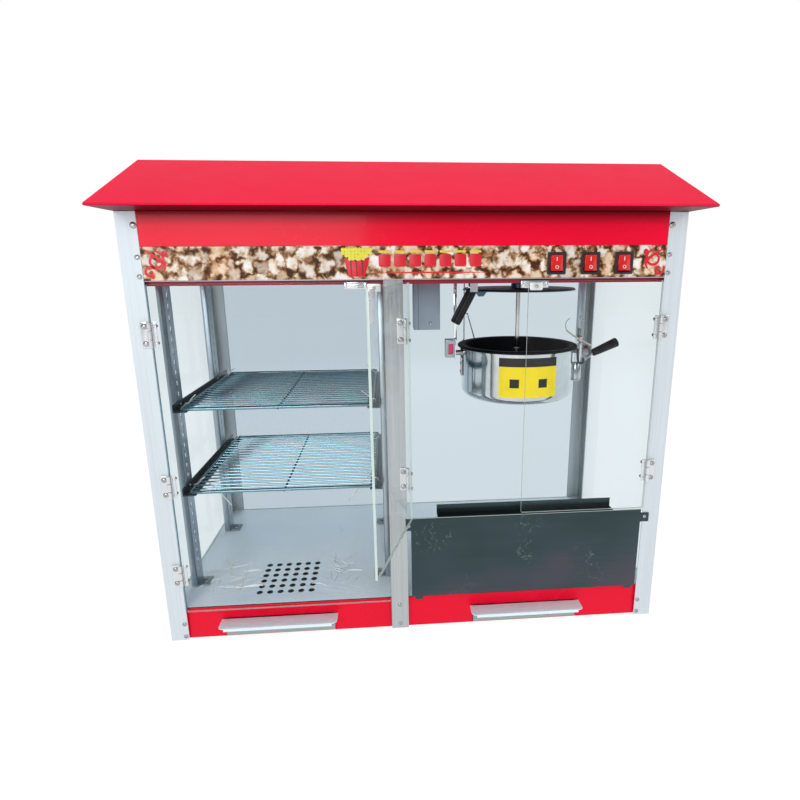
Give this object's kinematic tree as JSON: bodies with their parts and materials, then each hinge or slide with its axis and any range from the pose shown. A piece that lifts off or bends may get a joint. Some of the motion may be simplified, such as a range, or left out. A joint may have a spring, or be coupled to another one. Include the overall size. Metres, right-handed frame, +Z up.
{
  "type": "countertop popcorn machine",
  "caption": "Countertop popcorn machine: a kettle compartment and a warming cabinet with wire shelves, under one red roof.",
  "frame": {"origin": "centre of the base tray's flat underside, on the surface that the machine stands on", "axes": "+Z up, front with doors, switches and crumb drawers towards -Y, kettle side towards +X"},
  "size_m": [0.866, 0.6669, 0.8],
  "materials": {
    "red_paint": "glossy powder coat",
    "dark_red_paint": "satin",
    "print_panel": "printed film, semi gloss",
    "aluminium": "brushed along its length",
    "steel": "bright, lightly brushed",
    "film_steel": "covered by pale blue protective film",
    "chrome": "polished",
    "acrylic": "clear acrylic, polished edges",
    "glass": "clear glass",
    "non_stick": "black non-stick coating",
    "black_plastic": "fine grain",
    "grey_blue_paint": "satin",
    "red_plastic": "glossy",
    "lamp_glass": "frosted"
  },
  "bodies": {
    "cabinet": {"base_tray": "red_paint", "floor_plate_left": "film_steel", "floor_plate_right": "film_steel", "warmer_heater": "steel", "corner_post_front_left": "aluminium", "corner_post_front_right": "aluminium", "corner_post_rear_left": "aluminium", "corner_post_rear_right": "aluminium", "center_post": "steel", "side_glass_left": "glass", "side_glass_right": "glass", "rear_glass": "glass", "partition_glass": "acrylic", "ceiling_plate": "dark_red_paint", "fascia_panel": "red_paint", "control_panel": "print_panel", "top_housing": "red_paint", "power_inlet": "black_plastic", "roof_shell": "red_paint", "roof_end_left": "red_paint", "roof_end_right": "red_paint", "hinge_left_1": "chrome", "hinge_left_2": "chrome", "hinge_left_3": "chrome", "hinge_center_1": "chrome", "hinge_center_2": "chrome", "hinge_right_1": "chrome", "hinge_right_2": "chrome", "catch_center": "chrome", "catch_left": "chrome", "baffle": "steel", "rack_left": "steel", "rack_right": "steel", "warming_lamp": "lamp_glass", "gear_motor": "steel", "hanger_left": "chrome", "hanger_right": "chrome", "wire_duct": "grey_blue_paint", "lever_bracket": "chrome", "switch_housings": "black_plastic"},
    "left_door": {"door_left": "acrylic"},
    "center_door": {"door_center": "acrylic"},
    "right_door": {"door_right": "acrylic"},
    "left_drawer": {"drawer_left": "film_steel"},
    "right_drawer": {"drawer_right": "film_steel"},
    "upper_shelf": {"shelf_upper": "steel"},
    "lower_shelf": {"shelf_lower": "steel"},
    "kettle": {"kettle_shell": "chrome", "kettle_pot": "non_stick", "kettle_handle": "black_plastic"},
    "stirrer": {"agitator": "steel"},
    "shaft": {"drive_shaft": "steel"},
    "lid": {"kettle_lid": "steel"},
    "lever": {"lift_lever": "black_plastic"},
    "switch_1": {"rocker_1": "red_plastic"},
    "switch_2": {"rocker_2": "red_plastic"},
    "switch_3": {"rocker_3": "red_plastic"}
  },
  "joints": [
    {"name": "left_door_hinge", "type": "hinge", "parent": "cabinet", "child": "left_door", "pos_m": [-0.3996, -0.204, 0.33], "axis": [0, 0, -1], "range_deg": [0, 130]},
    {"name": "center_door_hinge", "type": "hinge", "parent": "cabinet", "child": "center_door", "pos_m": [-0.0146, -0.204, 0.41], "axis": [0, 0, -1], "range_deg": [-107, 23]},
    {"name": "right_door_hinge", "type": "hinge", "parent": "cabinet", "child": "right_door", "pos_m": [0.3996, -0.204, 0.41], "axis": [0, 0, 1], "range_deg": [0, 130]},
    {"name": "left_drawer_slide", "type": "slide", "parent": "cabinet", "child": "left_drawer", "axis": [0, -1, 0], "range_m": [0, 0.14]},
    {"name": "right_drawer_slide", "type": "slide", "parent": "cabinet", "child": "right_drawer", "axis": [0, -1, 0], "range_m": [0, 0.14]},
    {"name": "upper_shelf_lift", "type": "slide", "parent": "cabinet", "child": "upper_shelf", "axis": [0, 0, 1], "range_m": [0, 0.03]},
    {"name": "lower_shelf_lift", "type": "slide", "parent": "cabinet", "child": "lower_shelf", "axis": [0, 0, 1], "range_m": [0, 0.03]},
    {"name": "kettle_tip", "type": "hinge", "parent": "cabinet", "child": "kettle", "pos_m": [0.208, -0.015, 0.468], "axis": [1, 0, 0], "range_deg": [0, 75]},
    {"name": "stirrer_turn", "type": "hinge", "parent": "kettle", "child": "stirrer", "pos_m": [0.208, -0.015, 0.42], "axis": [0, 0, 1], "continuous": true},
    {"name": "shaft_turn", "type": "hinge", "parent": "cabinet", "child": "shaft", "pos_m": [0.208, -0.015, 0.55], "axis": [0, 0, 1], "continuous": true},
    {"name": "lid_travel", "type": "slide", "parent": "cabinet", "child": "lid", "axis": [0, 0, 1], "range_m": [-0.1015, 0]},
    {"name": "lever_swing", "type": "hinge", "parent": "cabinet", "child": "lever", "pos_m": [0.108, -0.1, 0.594], "axis": [0, -1, 0], "range_deg": [-48, 0]},
    {"name": "switch_1_rock", "type": "hinge", "parent": "cabinet", "child": "switch_1", "pos_m": [0.223, -0.1995, 0.635], "axis": [1, 0, 0], "range_deg": [0, 14]},
    {"name": "switch_2_rock", "type": "hinge", "parent": "cabinet", "child": "switch_2", "pos_m": [0.277, -0.1995, 0.635], "axis": [1, 0, 0], "range_deg": [0, 14]},
    {"name": "switch_3_rock", "type": "hinge", "parent": "cabinet", "child": "switch_3", "pos_m": [0.331, -0.1995, 0.635], "axis": [1, 0, 0], "range_deg": [0, 14]}
  ],
  "couplings": [
    {"joint": "shaft_turn", "follows": "stirrer_turn", "ratio": 1},
    {"joint": "lever_swing", "follows": "lid_travel", "rad_per_m": 8.2538}
  ]
}
